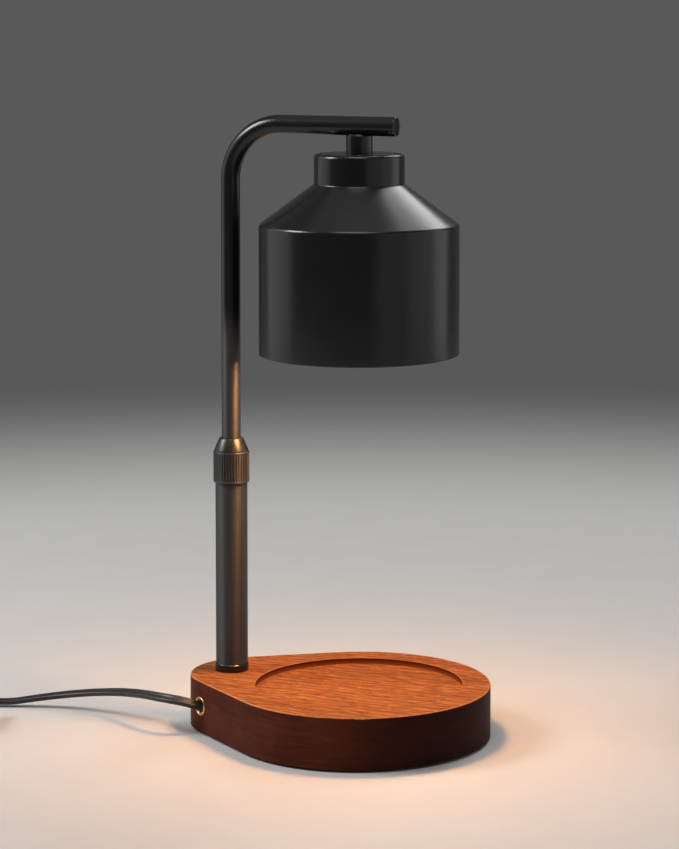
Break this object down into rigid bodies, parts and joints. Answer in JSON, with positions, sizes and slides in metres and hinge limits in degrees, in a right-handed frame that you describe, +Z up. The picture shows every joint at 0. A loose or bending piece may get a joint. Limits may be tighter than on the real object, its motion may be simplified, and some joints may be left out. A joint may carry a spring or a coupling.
{
  "type": "candle warmer lamp",
  "caption": "Small table lamp that melts a scented candle from above: teardrop wood base, height-adjustable pole with clamp collar, bent arm, spun metal shade and reflector bulb.",
  "frame": {"origin": "middle of the base's footprint, on the surface that its rubber feet stand on", "axes": "+X from the pole to the shade along the arm, +Z up along the pole, +Y to the left of someone who looks along +X"},
  "size_m": [0.3614, 0.1904, 0.3065],
  "materials": {
    "cherry_wood": "satin",
    "black_lacquer": "satin",
    "brass": "polished",
    "black_rubber": "matte",
    "zinc_steel": "satin",
    "nylon": "matte",
    "black_cord": "satin",
    "black_plastic": "matte",
    "circuit_board": "satin",
    "white_ceramic": "satin",
    "reflector_glass": "polished",
    "clear_glass": "gloss",
    "glowing_capsule": "gloss"
  },
  "bodies": {
    "base": {"wood_base": "cherry_wood", "ballast_plate": "zinc_steel", "plate_screws": "zinc_steel", "rubber_feet": "black_rubber", "cord_eyelet": "brass", "cord_clamp": "nylon", "clamp_screws": "zinc_steel", "crimp_caps": "nylon", "wire_ends": "black_cord", "pole_foot": "black_lacquer", "lower_tube": "black_lacquer", "tube_plug": "zinc_steel", "threaded_rod": "zinc_steel", "pole_washer": "zinc_steel", "pole_nut": "zinc_steel", "collet_seat": "zinc_steel", "riser_leads": "black_cord", "power_cord": "black_cord", "dimmer_base": "black_plastic", "dimmer_cover": "black_plastic", "dimmer_board": "circuit_board", "dimmer_pot": "circuit_board", "dimmer_screws": "zinc_steel", "dimmer_sleeves": "black_plastic", "plug_cord": "black_cord", "cord_coil": "black_cord", "plug_tail": "black_cord", "plug_body": "black_plastic", "plug_blades": "brass"},
    "collar": {"clamp_nut": "black_lacquer"},
    "swivel": {"clamp_collet": "nylon"},
    "arm": {"bent_arm": "black_lacquer", "guide_bush": "nylon", "arm_end_cap": "black_lacquer", "shade_stem": "black_lacquer", "shade_nipple": "zinc_steel", "shade": "black_lacquer", "shade_washer": "zinc_steel", "shade_nut": "zinc_steel", "holder_bracket": "zinc_steel", "lamp_holder": "white_ceramic", "holder_screws": "zinc_steel", "holder_contacts": "brass", "arm_leads": "black_cord"},
    "bulb": {"bulb_foot": "white_ceramic", "bulb_pins": "zinc_steel", "bulb_reflector": "reflector_glass", "bulb_lens": "clear_glass", "bulb_capsule": "glowing_capsule"},
    "dial": {"dimmer_knob": "black_plastic", "dimmer_shaft": "zinc_steel"}
  },
  "joints": [
    {"name": "collar_turn", "type": "hinge", "parent": "base", "child": "collar", "pos_m": [-0.05775, 0, 0.133], "axis": [0, 0, 1], "range_deg": [0, 180]},
    {"name": "arm_swivel", "type": "hinge", "parent": "base", "child": "swivel", "pos_m": [-0.05775, 0, 0.136], "axis": [0, 0, 1], "range_deg": [-170, 170]},
    {"name": "height_slide", "type": "slide", "parent": "swivel", "child": "arm", "axis": [0, 0, 1], "range_m": [-0.046, 0.012], "deforming": ["riser_leads"]},
    {"name": "bulb_twist", "type": "hinge", "parent": "arm", "child": "bulb", "pos_m": [0.01225, 0, 0.2607], "axis": [0, 0, 1], "range_deg": [-35, 0]},
    {"name": "dimmer_turn", "type": "hinge", "parent": "base", "child": "dial", "pos_m": [-0.23688, -0.0426, 0.0164], "axis": [0, 0, 1], "range_deg": [0, 270]}
  ]
}
